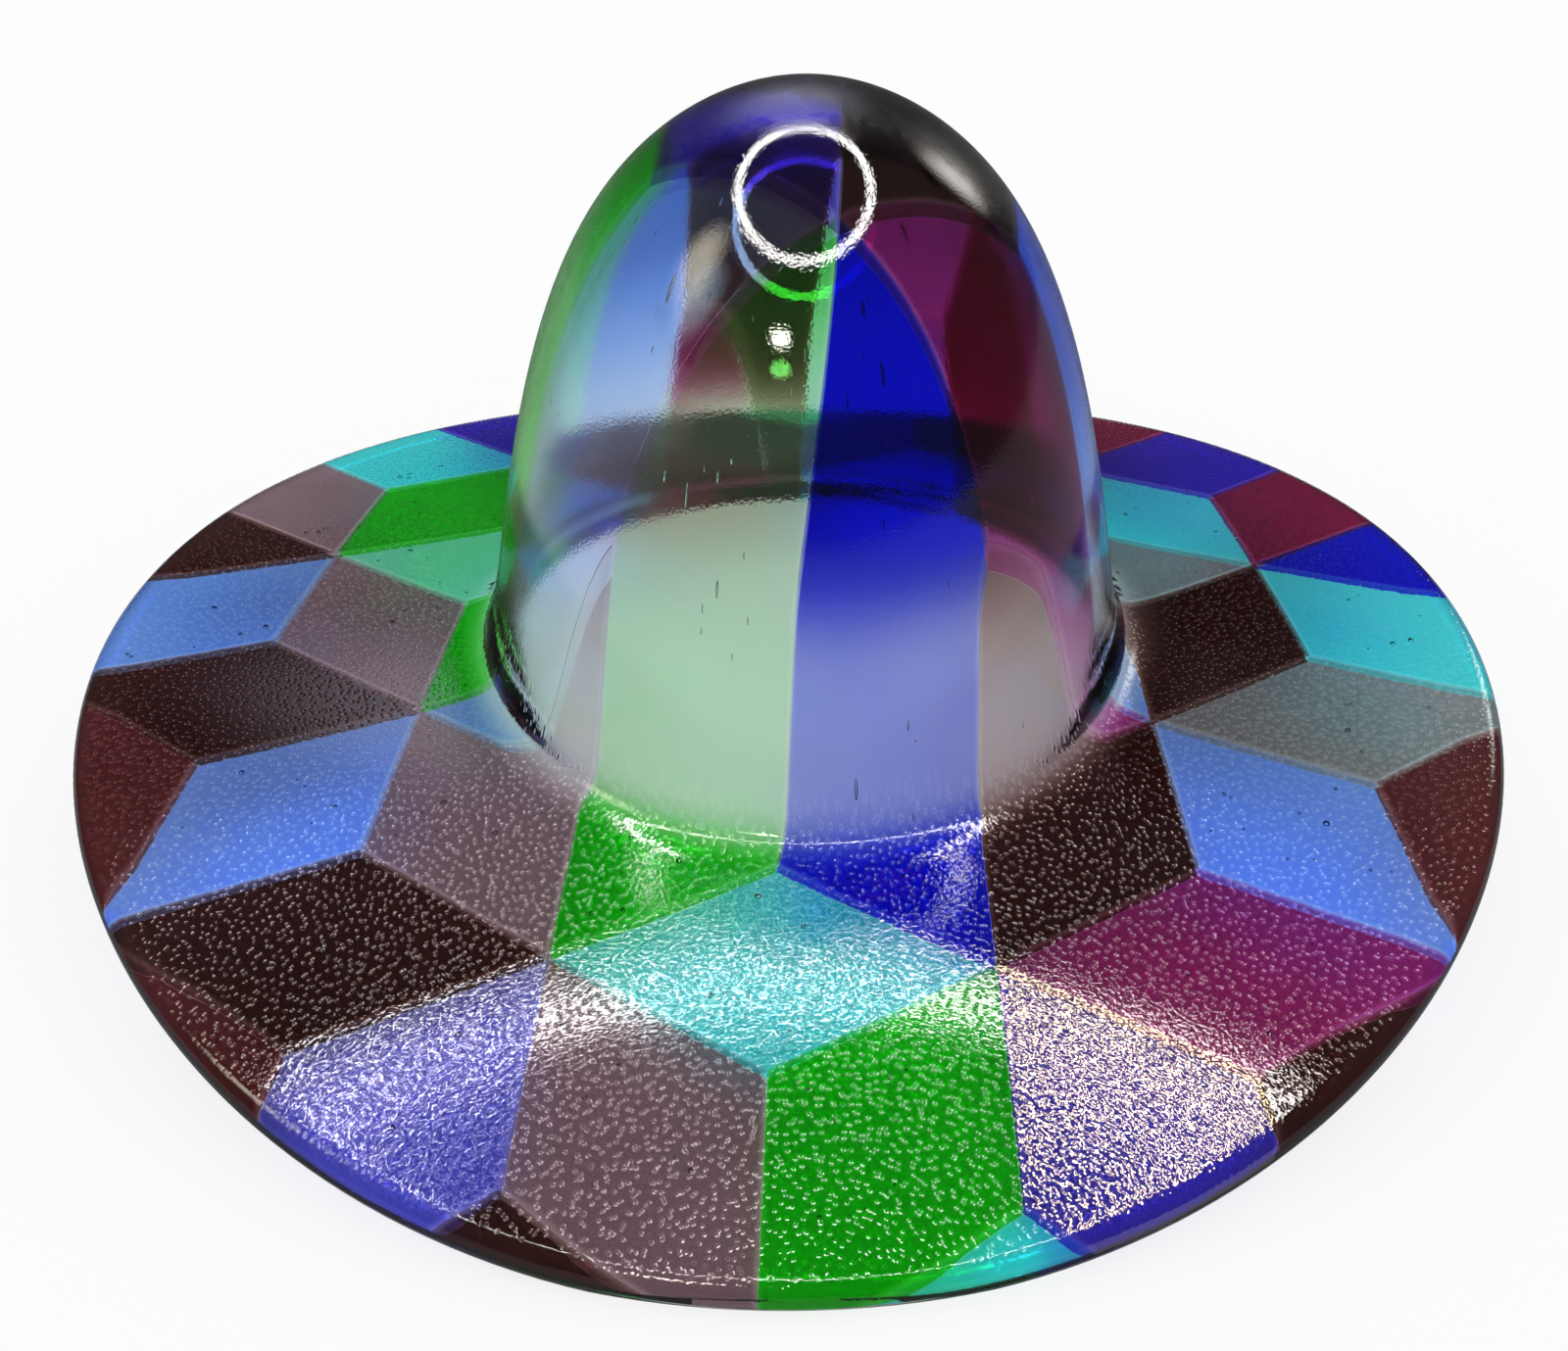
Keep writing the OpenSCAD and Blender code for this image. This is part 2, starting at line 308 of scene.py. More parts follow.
# A depth of 1 gives the glass its own colour, and thinner glass keeps less of it
parts = drawn_tint.nodes.new("ShaderNodeSeparateColor")
drawn_tint.links.new(group_in.outputs["Glass"], parts.inputs[0])
joined = drawn_tint.nodes.new("ShaderNodeCombineColor")
for channel in range(3):
    powered = maths(drawn_tint, "POWER", parts.outputs[channel], depth)
    drawn_tint.links.new(powered, joined.inputs[channel])
edge_mask = ramp_between(drawn_tint, seam_mm, 0.0, edge_width_mm, 1.0, 0.0)
edge_mask = maths(drawn_tint, "MULTIPLY", edge_mask, group_in.outputs["Edge Amount"])
edged = drawn_tint.nodes.new("ShaderNodeMix")
edged.data_type = "RGBA"
drawn_tint.links.new(edge_mask, edged.inputs["Factor"])
drawn_tint.links.new(joined.outputs[0], edged.inputs["A"])
drawn_tint.links.new(group_in.outputs["Edge"], edged.inputs["B"])
drawn_tint.links.new(edged.outputs["Result"], group_out.inputs["Colour"])


# Skin of the glass: the brim's top lay on the kiln's shelf, which left a fine orange peel
# with small round pits in it. The crown hung free and is fire-polished at the front, with a
# soft bloom on its sides and top.
polish = 0.025
shelf_skin = bpy.data.node_groups.new("shelf_skin", "ShaderNodeTree")
socket(shelf_skin, "INPUT", "Peel", "NodeSocketFloat", 1.0)
socket(shelf_skin, "OUTPUT", "Height", "NodeSocketFloat")
socket(shelf_skin, "OUTPUT", "Roughness", "NodeSocketFloat")
group_in = shelf_skin.nodes.new("NodeGroupInput")
group_out = shelf_skin.nodes.new("NodeGroupOutput")
height = ramp_between(shelf_skin, shelf_pits(shelf_skin), 0.05, pit_edge, 0.0, 1.0)
peel = object_noise(shelf_skin, peel_scale, 1)
height = maths(shelf_skin, "MULTIPLY_ADD", peel, group_in.outputs["Peel"], height)
height = maths(shelf_skin, "MULTIPLY", height, attribute(shelf_skin, "brim", "Fac"))
height = maths(shelf_skin, "MULTIPLY_ADD", object_noise(shelf_skin, 1800, 1), 0.3, height)
shelf_skin.links.new(height, group_out.inputs["Height"])
grain = maths(shelf_skin, "MULTIPLY_ADD", object_noise(shelf_skin, 450, 3), 0.24, 0.1)
bloom = maths(shelf_skin, "MULTIPLY", grain, attribute(shelf_skin, "bloom", "Fac"))
shelf_skin.links.new(maths(shelf_skin, "ADD", bloom, polish), group_out.inputs["Roughness"])


def tint_layer(name, colour, edge, ior, clear_and_glint_amounts):
    # Light that crosses a face takes the root of its colour, so a tile's skin and its
    # underside share the tint, and both have the tile's own colour
    material = plain_glass(name, colour, ior, 0.0)
    tree = material.node_tree
    tint = tree.nodes.new("ShaderNodeGroup")
    tint.node_tree = drawn_tint
    tint.inputs["Glass"].default_value = (*colour, 1)
    tint.inputs["Edge"].default_value = (*edge, 1)
    for amount_name, amount in zip(clear_and_glint_names, clear_and_glint_amounts):
        tint.inputs[amount_name].default_value = amount
    tree.links.new(tint.outputs["Colour"], tree.nodes["Principled BSDF"].inputs["Base Color"])
    return material


glass_colours = {}


def tile_glass(name, colour, edge, edge_amount, film=0, film_ior=1.0, peel=0.4, ridge_glints=0.15):
    # The skin of a tile, and its underside, where it is fused to the clear sheet
    # The last amount here paints highlights along the ridges of the peel into the colour
    skin = tint_layer(name + "_skin", colour, edge, glass_ior, (edge_amount, 0.6, 0.55, ridge_glints))
    fuse = tint_layer(name + "_fuse", colour, edge, fused_ior, (0, 0, 0, 0))
    tree = skin.node_tree
    glass = tree.nodes["Principled BSDF"]
    surface = tree.nodes.new("ShaderNodeGroup")
    surface.node_tree = shelf_skin
    surface.inputs["Peel"].default_value = peel
    tree.links.new(surface.outputs["Roughness"], glass.inputs["Roughness"])
    bump = tree.nodes.new("ShaderNodeBump")
    bump.inputs["Strength"].default_value = 1
    bump.inputs["Distance"].default_value = 0.00005
    tree.links.new(surface.outputs["Height"], bump.inputs["Height"])
    tree.links.new(bump.outputs["Normal"], glass.inputs["Normal"])
    if film:
        # A metal-salt lustre is a film about a hundred nanometres thick
        glass.inputs["Thin Film Thickness"].default_value = film
        glass.inputs["Thin Film IOR"].default_value = film_ior
    glass_colours[name] = [skin, fuse]


pale_edge = (0.75, 0.80, 0.80)
amber_edge = (0.45, 0.20, 0.05)
tile_glass("cobalt", (0.002, 0.004, 0.52), pale_edge, 0.1)
tile_glass("cornflower", (0.18, 0.35, 0.97), pale_edge, 0.15)
tile_glass("sky", (0.14, 0.30, 0.80), pale_edge, 0.15)
tile_glass("indigo", (0.025, 0.010, 0.40), pale_edge, 0.1)
tile_glass("cyan", (0.06, 0.68, 0.72), pale_edge, 0.15)
tile_glass("aqua", (0.18, 0.70, 0.52), pale_edge, 0.15)
tile_glass("green", (0.005, 0.42, 0.004), pale_edge, 0.12)
tile_glass("magenta", (0.29, 0.019, 0.145), pale_edge, 0.1)
tile_glass("crimson", (0.17, 0.006, 0.045), pale_edge, 0.1)
tile_glass("maroon", (0.105, 0.020, 0.022), amber_edge, 0.2)
tile_glass("mauve", (0.26, 0.165, 0.195), pale_edge, 0.15)
tile_glass("smoke", (0.25, 0.245, 0.255), pale_edge, 0.15)
tile_glass("umber", (0.045, 0.012, 0.010), amber_edge, 0.3)

# Three tiles at the front are crackled, and the pale net on them is painted highlights along
# the ridges of the peel; the cobalt one has a lustre on it too. Two behind the crown are
# darker copies of their glass, as painted shade.
tile_glass("cobalt_lustre", (0.02, 0.012, 0.42), pale_edge, 0.1, 95, 2.0, peel=3.0, ridge_glints=0.8)
tile_glass("cornflower_lustre", (0.10, 0.10, 0.52), pale_edge, 0.15, peel=1.2, ridge_glints=0.9)
tile_glass("cyan_lustre", (0.04, 0.54, 0.58), pale_edge, 0.15, peel=1.2, ridge_glints=0.9)
tile_glass("magenta_deep", (0.035, 0.010, 0.020), pale_edge, 0.1)
tile_glass("cornflower_deep", (0.03, 0.05, 0.30), pale_edge, 0.15)
bubble_glass = plain_glass("bubble_glass", (1, 1, 1), glass_ior, 0.0)


# Laying the tiles: each is a rhomb of a tumbling-blocks pattern on the flat blank. The sag
# drew the pattern in over the crown and let it lean, and left it as it was on the brim.
rim_in_tiles = 3.378
tile_side = brim_radius / rim_in_tiles
seam = 0.00003
junction_across = -0.022
junction_along = -0.636
pattern_turn = math.radians(-2)
plan_depth = 0.8952
plan_bow = 0.0271
plan_taper = 0.031
bow_end = 2.5
draw_start = 0.0696
draw_end = 0.0770
crown_draw = 0.144
crown_lean = Vector((0.010, -0.0011))
tile_melt = 0.0033
skin_face, fuse_face, side_face, bubble_face = range(4)


def eased(value, low, high):
    share = min(1.0, max(0.0, (value - low) / (high - low)))
    return share * share * (3 - 2 * share)


def pattern_to_plan(q):
    # A point of the flat pattern, in tile sides, to its place over the sagged hat's plan
    near = min(q.y, bow_end)
    across = q.x * (1 - plan_taper * near)
    along = plan_depth * near - plan_bow * near ** 2 + max(0.0, q.y - bow_end)
    laid = Vector((
        junction_across + math.cos(pattern_turn) * across - math.sin(pattern_turn) * along,
        junction_along + math.sin(pattern_turn) * across + math.cos(pattern_turn) * along,
    )) * tile_side
    out = laid - crown_axis
    drawn = 1 - eased(out.length, draw_start, draw_end)
    lean = max(0.0, 1 - (out.length / draw_end) ** 4)
    return crown_axis + out * (1 - crown_draw * drawn) + lean * crown_lean


def glass_left(p, drawn, thinnest):
    # Share of a tile's colour that is left where the crown was drawn down. It comes back at
    # the foot, and sooner behind the crown.
    reach = crown_reach(p)
    behind = eased(p.y, 0.02, 0.05)
    back_from = 0.99 - 0.02 * behind
    back_by = 1.16 - 0.12 * behind
    wall = 1 - (1 - thinnest) * eased(reach, *drawn)
    return wall + (1 - wall) * eased(reach, back_from, back_by)


def glass_bloom(p):
    # The front of the crown is clear, and its sides and top have a bloom
    sides = 0.4 * max(eased(-p.x, 0.010, 0.022), eased(p.x, 0.030, 0.044))
    top = 1.5 * eased(p.y, -0.014, -0.002) * (1 - eased(p.y, 0.02, 0.04))
    return max(sides, top) * (1 - eased(crown_reach(p), 0.94, 1.02))


def cut_at_rim(bm):
    # The circle of the blank cuts a tile at the rim, and its cells are finer at the cut
    cut_step = 1.25
    edge_zone = 0.008
    outside = [vert.co.xy for vert in bm.verts if vert.co.xy.length > brim_radius]
    if not outside:
        return False
    mean = math.atan2(sum(p.y for p in outside), sum(p.x for p in outside))
    for step in range(-26, 27):
        angle = mean + math.radians(cut_step * step)
        way = Vector((math.cos(angle), math.sin(angle), 0))
        bmesh.ops.bisect_plane(
            bm, geom=bm.verts[:] + bm.edges[:] + bm.faces[:], dist=0.000001,
            plane_co=way * brim_radius, plane_no=way, clear_outer=True,
        )
    for vert in bm.verts:
        inward = brim_radius - vert.co.xy.length
        if 0 < inward < edge_zone:
            moved = edge_zone * (inward / edge_zone) ** 1.6
            vert.co.xy = vert.co.xy.normalized() * (brim_radius - moved)
    return True


def add_bubbles(bm, node, start, right, left, bubbles):
    # Seed bubbles in the glass: round on the brim, drawn long in the crown's wall
    rim_clearance = 0.006
    steep = 0.8
    chance = random.Random(node)
    for number in range(bubbles):
        share = (chance.uniform(0.1, 0.9), chance.uniform(0.1, 0.9))
        p = pattern_to_plan(start + right * share[0] + left * share[1])
        size = 0.00022 + 0.0005 * chance.random() ** 3
        if p.length > brim_radius - rim_clearance:
            continue
        slope = wall_slope(p)
        out = Vector((p.x - crown_axis.x, p.y - crown_axis.y, 0)).normalized()
        normal = Vector((out.x * slope, out.y * slope, 1)).normalized()
        down = Vector((out.x, out.y, -slope)).normalized()
        level = normal.cross(down)
        stretch = 1.0
        if slope > steep:
            size = size * 0.55
            stretch = chance.uniform(1.5, 9)
        turned = Matrix((level, down * stretch, normal)).transposed().to_4x4()
        spot = Vector((p.x, p.y, hat_height(p) - tile_depth * chance.uniform(0.4, 0.6)))
        ball = bmesh.ops.create_icosphere(
            bm, subdivisions=2, radius=size, matrix=Matrix.Translation(spot) @ turned,
        )
        shell = {face for vert in ball["verts"] for face in vert.link_faces}
        bmesh.ops.recalc_face_normals(bm, faces=list(shell))
        bmesh.ops.reverse_faces(bm, faces=list(shell))
        for face in shell:
            face.material_index = bubble_face
            face.smooth = True


def smooth_skin(mesh):
    # The drawn glass has no facets, so its skin takes the normals of the true surface
    step = 0.00001
    normals = [corner.vector.copy() for corner in mesh.corner_normals]
    true_normals = {}
    for face in mesh.polygons:
        if mesh.attributes["skin_side"].data[face.index].value == 0:
            continue
        for corner in face.loop_indices:
            place = mesh.loops[corner].vertex_index
            if place not in true_normals:
                p = mesh.vertices[place].co
                fall_x = hat_height(p - Vector((step, 0, 0))) - hat_height(p + Vector((step, 0, 0)))
                fall_y = hat_height(p - Vector((0, step, 0))) - hat_height(p + Vector((0, step, 0)))
                true_normals[place] = Vector((fall_x, fall_y, 2 * step)).normalized()
            normals[corner] = true_normals[place]
    mesh.normals_split_custom_set(normals)


def lay_tile(node, point, turn, cells, colour, bubbles, drawn=(0.7, 0.97), thinnest=0.16, finish=""):
    # A rhomb from a corner of the pattern, turned by sixths of a circle. Its colour thins from
    # the first to the second reach of drawn, until the share thinnest is left.
    start = Vector((math.sqrt(3) * (point[0] + point[1] / 2), 1.5 * point[1]))
    right = Vector((math.cos(math.radians(60 * turn - 30)), math.sin(math.radians(60 * turn - 30))))
    left = Vector((math.cos(math.radians(60 * turn + 30)), math.sin(math.radians(60 * turn + 30))))
    middle = start + (right + left) / 2
    inset = 1 - seam / (tile_side * math.sin(math.radians(60)))

    bm = bmesh.new()
    flat = bm.verts.layers.float_vector.new("flat")
    thin = bm.verts.layers.float.new("thin")
    brim = bm.verts.layers.float.new("brim")
    painted_glint_mask = bm.verts.layers.float.new("painted_glint_mask")
    bloom = bm.verts.layers.float.new("bloom")
    skin_side = bm.faces.layers.int.new("skin_side")
    bmesh.ops.create_grid(bm, x_segments=cells, y_segments=cells, size=0.5)
    for vert in bm.verts:
        # Cells are closer towards the seams
        share = [0.5 - 0.5 * math.cos(math.pi * (n + 0.5)) for n in vert.co.xy]
        vert[flat] = (share[0], share[1], 0)
        corner = start + right * share[0] + left * share[1]
        vert.co.xy = pattern_to_plan(middle + (corner - middle) * inset)
    cut = cut_at_rim(bm)

    for vert in bm.verts:
        inward = brim_radius - vert.co.xy.length
        front = eased(-vert.co.y, -0.03, 0.06)
        vert[thin] = glass_left(vert.co, drawn, thinnest)
        vert[brim] = eased(crown_reach(vert.co), 0.97, 1.03) * eased(inward, 0.0012, 0.0026)
        # Painted highlights of the pits and ridges show on the brim, most of all at its front, where
        # the lamps catch them
        vert[painted_glint_mask] = vert[brim] * (0.3 + 0.7 * front)
        vert[bloom] = glass_bloom(vert.co)
        vert.co.z = hat_height(vert.co)
    upper = set(bm.verts)
    bmesh.ops.extrude_face_region(bm, geom=bm.faces[:])
    for vert in bm.verts:
        if vert in upper:
            vert.co.z = vert.co.z - melted_edge(vert.co, tile_melt)
        else:
            vert.co.z = tile_under(vert.co)
    face_outwards(bm)
    for face in bm.faces:
        on_top = all(vert in upper for vert in face.verts)
        on_rim = cut and all(vert.co.xy.length > brim_radius - 0.00002 for vert in face.verts)
        underneath = not any(vert in upper for vert in face.verts)
        if on_top or on_rim:
            face.material_index = skin_face
        elif underneath:
            face.material_index = fuse_face
        else:
            face.material_index = side_face
        face[skin_side] = 1 if on_top and not cut else 0
    crease_edges(bm)
    add_bubbles(bm, node, start, right, left, bubbles)
    materials = glass_colours[colour + finish] + [clear_fuse, bubble_glass]
    smooth_skin(finish_piece(bm, node + "_tile", node, materials).data)


# Tiles of the crown: six rhombs that meet at a junction on the front of the crown, one
# behind its top, and the tall ones drawn out in its walls.
lay_tile("crown_right", (0, 0), 0, 80, "magenta", 12, (0.8, 0.98))
lay_tile("crown_back_right", (0, 0), 1, 32, "umber", 6)
lay_tile("crown_back_left", (0, 0), 2, 32, "indigo", 6, (-0.2, -0.1), 0.5)
lay_tile("crown_left", (0, 0), 3, 80, "sky", 14, (-0.6, 0.95), 0.08)
lay_tile("crown_front_left", (0, 0), 4, 110, "green", 26, (0.1, 0.8), 0.07)
lay_tile("crown_front_right", (0, 0), 5, 110, "cobalt", 24, (0.79, 0.9), 0.17)
lay_tile("crown_top_back", (-1, 1), 0, 32, "umber", 6)
lay_tile("wall_left", (-1, 0), 1, 64, "green", 12, (0.1, 0.7))
lay_tile("wall_back_left", (-1, 1), 1, 64, "umber", 10, (0.86, 0.95), 0.05)
lay_tile("wall_back", (0, 1), 2, 64, "sky", 10, (-0.2, -0.1), 0.25)
lay_tile("wall_back_right", (0, 1), 1, 64, "crimson", 10, (0.86, 0.99))
lay_tile("wall_right", (1, 0), 2, 64, "cornflower", 10)


# Tiles at the foot of the crown: rhombs that lie half on the brim and half up the wall.
# They turn pale where the wall was drawn thin.
lay_tile("foot_front", (0, -1), 0, 30, "cyan", 9, finish="_lustre")
lay_tile("foot_front_right", (1, -1), 1, 96, "umber", 8, (0.7, 0.95), 0.14)
lay_tile("foot_right", (0, 1), 0, 64, "smoke", 8)
lay_tile("foot_back_right", (-1, 2), 0, 64, "cornflower", 8)
lay_tile("foot_back_left", (-2, 2), 0, 64, "crimson", 8, (0.86, 0.925), 0.1)
lay_tile("foot_left_rear", (-1, 1), 2, 64, "cornflower", 8)
lay_tile("foot_left", (-2, 1), 0, 64, "aqua", 8)
lay_tile("foot_front_left", (0, -1), 2, 96, "mauve", 12)


# Tiles of the brim: rhombs that lie on the wavy brim. Those on its edge are cut by the
# circle of the blank, and their edge melted round.
lay_tile("brim_front_mauve", (1, -2), 2, 44, "mauve", 9)
lay_tile("brim_front_green", (1, -2), 1, 44, "green", 8)
lay_tile("brim_front_cobalt", (2, -2), 2, 44, "cobalt", 8, finish="_lustre")
lay_tile("brim_front_cornflower", (0, -2), 1, 44, "cornflower", 8, finish="_lustre")
lay_tile("brim_front_left_umber", (-1, -1), 0, 24, "umber", 6)
lay_tile("brim_front_right_magenta", (1, -1), 0, 24, "magenta", 8)
lay_tile("brim_left_cornflower", (-1, -1), 1, 24, "cornflower", 10)
lay_tile("brim_left_umber", (-2, 0), 0, 44, "umber", 6)
lay_tile("brim_left_mauve", (-1, 0), 2, 24, "mauve", 10)
lay_tile("brim_left_sky", (-2, 0), 1, 44, "sky", 10)
lay_tile("brim_left_rear_umber", (-3, 1), 0, 44, "umber", 6)
lay_tile("brim_left_rear_mauve", (-2, 1), 2, 44, "mauve", 8)
lay_tile("brim_left_rear_green", (-2, 1), 1, 24, "green", 8)
lay_tile("brim_left_rear_cyan", (-3, 2), 0, 44, "cyan", 8)
lay_tile("brim_right_cornflower", (2, -1), 2, 24, "cornflower", 12)
lay_tile("brim_right_smoke", (1, 0), 0, 44, "smoke", 10)
lay_tile("brim_right_umber", (1, 0), 1, 36, "umber", 6)
lay_tile("brim_right_cyan", (2, 0), 2, 44, "cyan", 10)
lay_tile("brim_right_rear_cobalt", (1, 1), 0, 44, "cobalt", 8)
lay_tile("brim_right_rear_crimson", (1, 1), 1, 44, "crimson", 8)
lay_tile("brim_right_rear_cyan", (1, 1), 2, 24, "cyan", 8)
lay_tile("brim_right_rear_indigo", (0, 2), 0, 44, "indigo", 8)
lay_tile("brim_back_crimson", (0, 2), 1, 44, "crimson", 8)
lay_tile("brim_back_green", (0, 2), 2, 44, "green", 8)
# These two take the darker copies of their glass: painted shade on the brim behind the crown
lay_tile("brim_back_cornflower", (-1, 2), 1, 44, "cornflower", 8, finish="_deep")
lay_tile("brim_back_magenta", (-1, 2), 2, 44, "magenta", 8, finish="_deep")
lay_tile("brim_back_mauve", (-2, 2), 1, 44, "mauve", 8)
lay_tile("brim_back_indigo", (-2, 2), 2, 44, "indigo", 8)


# Slivers at the rim: corners of tiles that are left inside the circle of the blank. They
# are of the same glass, and they fused to the sheet and melted round with the rest.
lay_tile("rim_front_umber", (0, -2), 0, 60, "umber", 3)
lay_tile("rim_front_cyan", (1, -2), 0, 60, "cyan", 3)
lay_tile("rim_front_right_umber", (2, -2), 1, 60, "umber", 3)
lay_tile("rim_right_maroon", (2, -1), 1, 48, "maroon", 5)
lay_tile("rim_back_aqua", (-2, 3), 0, 48, "aqua", 4)
lay_tile("rim_left_maroon", (-1, -1), 2, 48, "maroon", 5)
lay_tile("rim_front_left_maroon", (0, -2), 2, 60, "maroon", 3)


# Floor: a plain white table, which keeps a soft shadow of the hat. Through the glass it
# dims with the distance from the hat, and in reflections it is a third as bright.
table_size = 4
table_white = 0.92
bm = bmesh.new()
bmesh.ops.create_grid(bm, x_segments=4, y_segments=4, size=table_size)
floor_mesh = bpy.data.meshes.new("floor")
bm.to_mesh(floor_mesh)
bm.free()
floor = bpy.data.objects.new("floor", floor_mesh)
bpy.context.scene.collection.objects.link(floor)


def mirrored_rays(tree, path):
    # Is Glossy Ray holds for light that came through glass too, so that is taken off
    return maths(tree, "SUBTRACT", path.outputs["Is Glossy Ray"], path.outputs["Is Transmission Ray"])


white = bpy.data.materials.new("white_table")
white.use_nodes = True
tree = white.node_tree
tree.nodes.clear()
output = tree.nodes.new("ShaderNodeOutputMaterial")
matt = tree.nodes.new("ShaderNodeBsdfDiffuse")
glow = tree.nodes.new("ShaderNodeEmission")
glow.inputs["Color"].default_value = (1, 1, 1, 1)
path = tree.nodes.new("ShaderNodeLightPath")
seen = maths(tree, "MULTIPLY", path.outputs["Is Camera Ray"], 0.8)
for ray, share in (("Is Glossy Ray", 0.2), ("Is Transmission Ray", 0.32)):
    seen = maths(tree, "MAXIMUM", seen, maths(tree, "MULTIPLY", path.outputs[ray], share))
place = tree.nodes.new("ShaderNodeTexCoord")
away = tree.nodes.new("ShaderNodeVectorMath")
away.operation = "LENGTH"
tree.links.new(place.outputs["Object"], away.inputs[0])
far = ramp_between(tree, away.outputs["Value"], 0.18, 0.5, 0.0, 0.4)
through = maths(tree, "MULTIPLY", far, path.outputs["Is Transmission Ray"])
mirrored = maths(tree, "MULTIPLY", mirrored_rays(tree, path), 0.65)
lit = maths(tree, "SUBTRACT", 1.0, maths(tree, "MAXIMUM", through, mirrored))
tree.links.new(lit, glow.inputs["Strength"])
shade = tree.nodes.new("ShaderNodeCombineColor")
for channel in range(3):
    tree.links.new(maths(tree, "MULTIPLY", lit, table_white), shade.inputs[channel])
tree.links.new(shade.outputs[0], matt.inputs["Color"])
mix = tree.nodes.new("ShaderNodeMixShader")
tree.links.new(seen, mix.inputs[0])
tree.links.new(matt.outputs[0], mix.inputs[1])
tree.links.new(glow.outputs[0], mix.inputs[2])
tree.links.new(mix.outputs[0], output.inputs[0])
floor_mesh.materials.append(white)


# Room: a plain studio. It is white where it is seen directly, grey where it is seen through
# the glass, and dark in the glass's reflections.
world = bpy.data.worlds.new("studio")
bpy.context.scene.world = world
world.use_nodes = True
tree = world.node_tree
tree.nodes.clear()
output = tree.nodes.new("ShaderNodeOutputWorld")
backdrop = tree.nodes.new("ShaderNodeBackground")
backdrop.inputs["Color"].default_value = (1, 1, 1, 1)
path = tree.nodes.new("ShaderNodeLightPath")
straight = maths(tree, "LESS_THAN", path.outputs["Diffuse Depth"], 0.5)
through = maths(tree, "MULTIPLY", path.outputs["Is Transmission Ray"], straight)
through = maths(tree, "MULTIPLY", through, 0.35)
mirrored = maths(tree, "MULTIPLY", mirrored_rays(tree, path), 0.92)
lit = maths(tree, "SUBTRACT", 1.0, maths(tree, "MAXIMUM", through, mirrored))
tree.links.new(lit, backdrop.inputs["Strength"])
tree.links.new(backdrop.outputs[0], output.inputs[0])


# Lamps: a ring lamp over the hat, soft panels behind it and at the left and the right, and a
# small spot over the camera. The hat's gloss shows them, and they don't light the table.
def lamp_glow(name, colour, strength):
    material = bpy.data.materials.new(name)
    material.use_nodes = True
    tree = material.node_tree
    tree.nodes.clear()
    output = tree.nodes.new("ShaderNodeOutputMaterial")
    glow = tree.nodes.new("ShaderNodeEmission")
    glow.inputs["Color"].default_value = (*colour, 1)
    faded = maths(tree, "MULTIPLY", attribute(tree, "glow", "Fac"), strength)
    tree.links.new(faded, glow.inputs["Strength"])
    tree.links.new(glow.outputs[0], output.inputs[0])
    return material


def set_lamp(bm, name, colour, strength):
    mesh = bpy.data.meshes.new(name)
    bm.to_mesh(mesh)
    bm.free()
    mesh.materials.append(lamp_glow(name + "_glow", colour, strength))
    lamp = bpy.data.objects.new(name, mesh)
    bpy.context.scene.collection.objects.link(lamp)
    lamp.visible_camera = False
    lamp.visible_diffuse = False


def soft_panel(name, place, width, depth, strength, colour):
    # A panel that fades out towards its edge and faces the middle of the hat
    aim = Vector((0, 0, 0.1))
    bm = bmesh.new()
    glow = bm.verts.layers.float.new("glow")
    bmesh.ops.create_grid(bm, x_segments=16, y_segments=16, size=0.5)
    for vert in bm.verts:
        vert[glow] = 1 - eased(vert.co.length, 0.1, 0.5)
    bmesh.ops.scale(bm, vec=(width, depth, 1), verts=bm.verts[:])
    turned = (aim - Vector(place)).to_track_quat("Z", "Y").to_matrix().to_4x4()
    bmesh.ops.transform(bm, matrix=Matrix.Translation(place) @ turned, verts=bm.verts[:])
    set_lamp(bm, name, colour, strength)


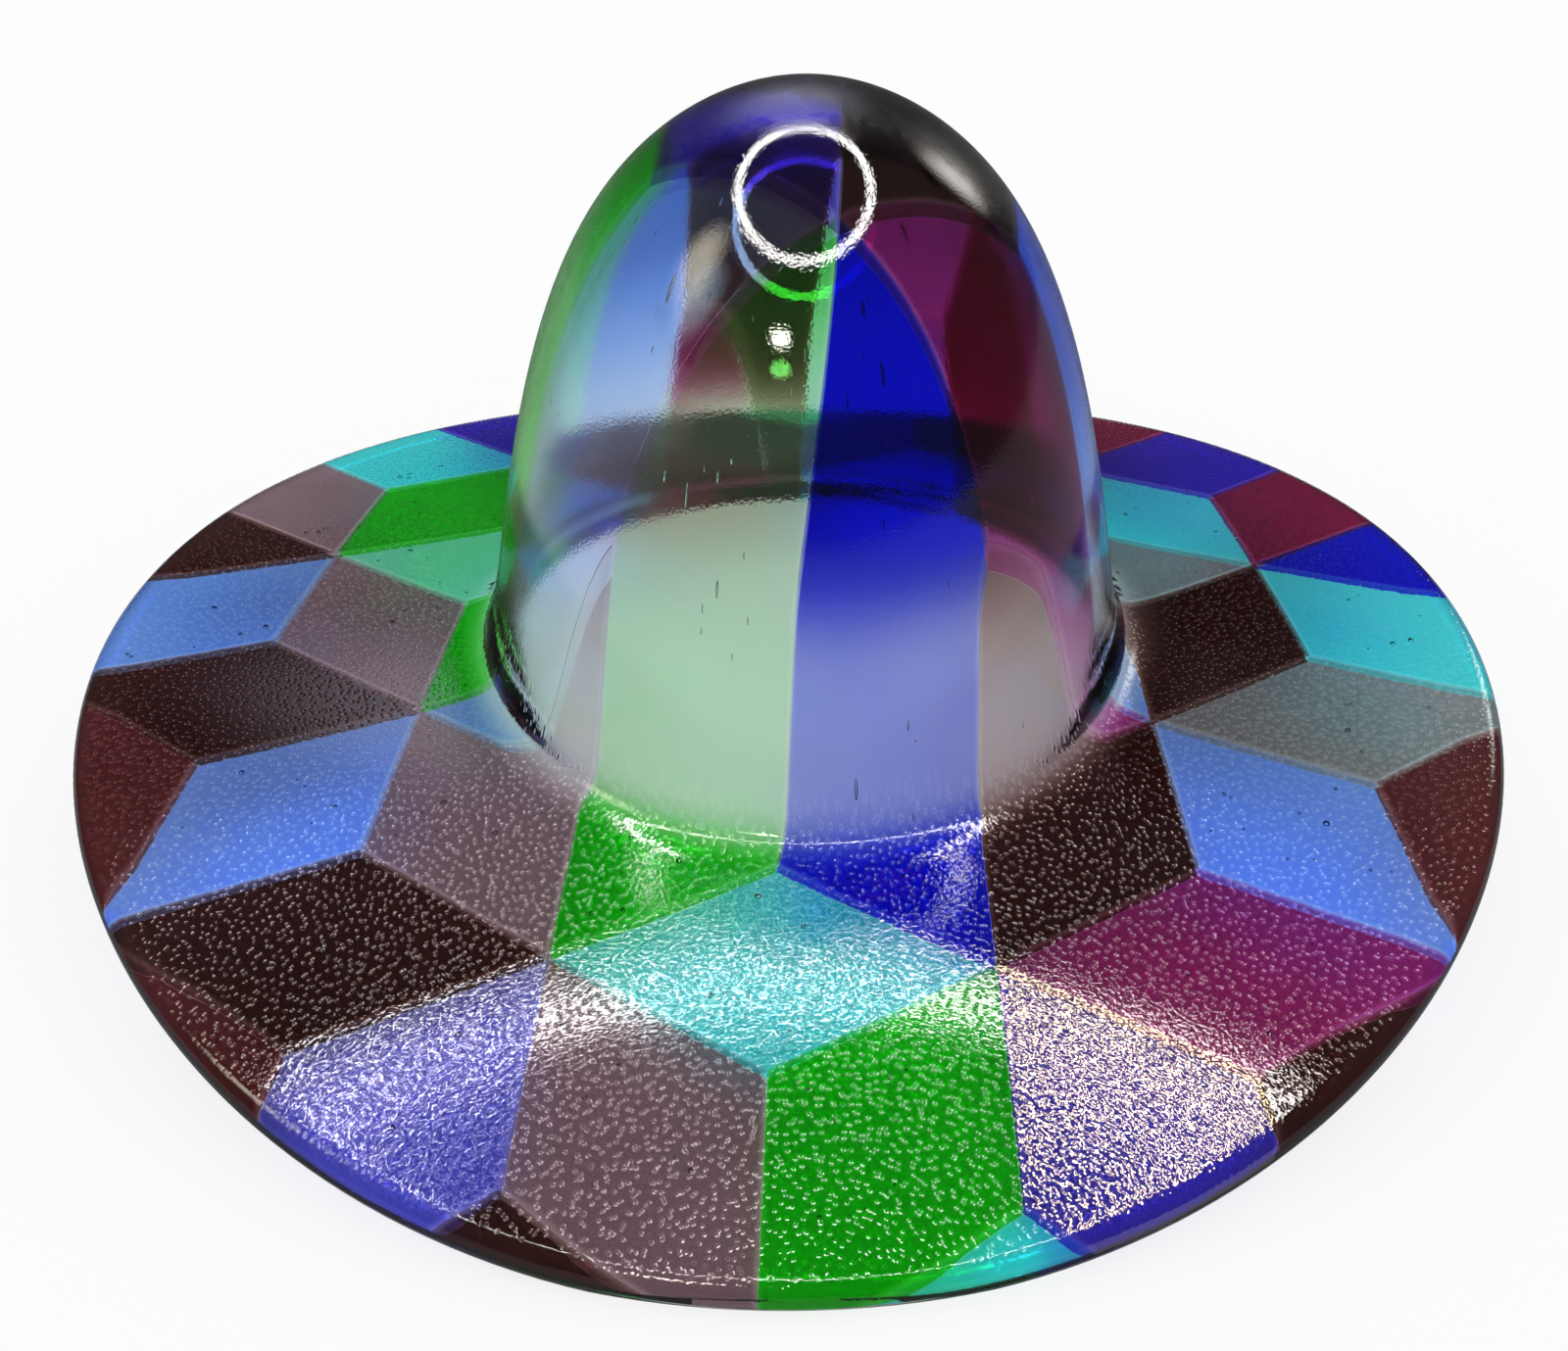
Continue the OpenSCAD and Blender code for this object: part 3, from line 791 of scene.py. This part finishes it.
soft_panel("back_lamp", (-0.04, 0.69, 0.68), 0.75, 0.4, 4, (0.8, 0.82, 1))
soft_panel("left_lamp", (-0.85, -0.35, 0.95), 0.5, 0.75, 8, (1, 0.93, 0.75))
soft_panel("right_lamp", (0.75, 0.62, 0.62), 0.4, 0.55, 7, (1, 0.97, 0.92))
soft_panel("spot_lamp", (-0.15, -0.70, 0.58), 0.15, 0.085, 70, (1, 1, 0.85))

ring_radius = 0.252
ring_tube = 0.014
ring_stretch = 1.175
ring_place = (0, -0.067, 0.63)
bm = bmesh.new()
glow = bm.verts.layers.float.new("glow")
upright = Matrix.Translation((ring_radius, 0, 0)) @ Matrix.Rotation(math.radians(90), 4, "X")
bmesh.ops.create_circle(bm, segments=12, radius=ring_tube, matrix=upright)
bmesh.ops.spin(
    bm, geom=bm.verts[:] + bm.edges[:], cent=(0, 0, 0), axis=(0, 0, 1),
    angle=2 * math.pi, steps=96, use_merge=True,
)
bmesh.ops.remove_doubles(bm, verts=bm.verts[:], dist=weld)
bmesh.ops.scale(bm, vec=(1, ring_stretch, 1), verts=bm.verts[:])
bmesh.ops.translate(bm, vec=ring_place, verts=bm.verts[:])
for vert in bm.verts:
    vert[glow] = 1
set_lamp(bm, "ring_lamp", (1, 0.98, 0.95), 28)


# Camera: at the photograph's place, above the front of the hat and looking down on it. Its
# place, focal length and roll come from a fit to the rim and the corners of the tiles.
image_width = 1600
focal_pixels = 1550
look_down = 35.93
roll = -0.006
lens = bpy.data.cameras.new("camera")
lens.sensor_width = 36
lens.lens = 36 * focal_pixels / image_width
lens.shift_x = -3.8 / image_width
lens.shift_y = -35 / image_width
lens.clip_start = 0.01
camera = bpy.data.objects.new("camera", lens)
bpy.context.scene.collection.objects.link(camera)
camera.location = (0, -0.2809, 0.2036 + foot_height)
camera.rotation_euler = (
    Euler((math.radians(90 - look_down), 0, 0)).to_matrix() @ Euler((0, 0, roll)).to_matrix()
).to_euler()
bpy.context.scene.camera = camera

bpy.context.scene.view_settings.view_transform = "Standard"
bpy.context.scene.cycles.max_bounces = 24
bpy.context.scene.cycles.transmission_bounces = 24
bpy.context.scene.cycles.glossy_bounces = 6
